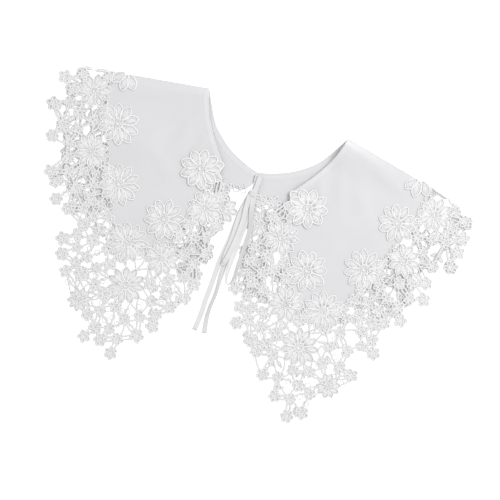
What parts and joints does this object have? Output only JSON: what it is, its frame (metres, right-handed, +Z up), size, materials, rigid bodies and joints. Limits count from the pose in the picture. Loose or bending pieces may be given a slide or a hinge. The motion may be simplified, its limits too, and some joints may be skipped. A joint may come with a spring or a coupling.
{
  "type": "detachable lace collar",
  "caption": "Detachable collar of white cotton and floral guipure lace, laid flat with the front folded over the back, and ribbon ties at the back neck.",
  "frame": {"origin": "centre of the underside's box, where the collar lies on a surface; the neck is towards +Y", "axes": "+X across the shoulders, +Y towards the neck, +Z up from the surface the collar lies on"},
  "size_m": [0.5328, 0.3473, 0.0136],
  "materials": {
    "cotton_cloth": "fine plain-woven white cotton, slightly sheer, matt",
    "cotton_trim": "folded white cotton, topstitched",
    "guipure_lace": "white cotton guipure lace, corded and matt",
    "daisy_lace": "white cotton guipure appliques, corded, slight sheen",
    "ribbon": "narrow white cotton tape, ribbed"
  },
  "bodies": {
    "root": {"left_front_panel": "cotton_cloth", "left_back_panel": "cotton_cloth", "left_front_neck_binding": "cotton_trim", "left_back_neck_facing": "cotton_trim", "left_front_lace": "guipure_lace", "left_back_lace": "guipure_lace", "left_daisy_1": "daisy_lace", "left_daisy_2": "daisy_lace", "left_daisy_3": "daisy_lace", "left_daisy_4": "daisy_lace", "left_daisy_5": "daisy_lace", "left_tie_strap": "ribbon", "left_tie_loop": "ribbon", "left_tie_tail": "ribbon", "right_front_panel": "cotton_cloth", "right_back_panel": "cotton_cloth", "right_front_neck_binding": "cotton_trim", "right_back_neck_facing": "cotton_trim", "right_front_lace": "guipure_lace", "right_back_lace": "guipure_lace", "right_daisy_1": "daisy_lace", "right_daisy_2": "daisy_lace", "right_daisy_3": "daisy_lace", "right_daisy_4": "daisy_lace", "right_daisy_5": "daisy_lace", "right_tie_strap": "ribbon", "right_tie_loop": "ribbon", "right_tie_tail": "ribbon", "tie_knot": "ribbon"}
  },
  "joints": []
}
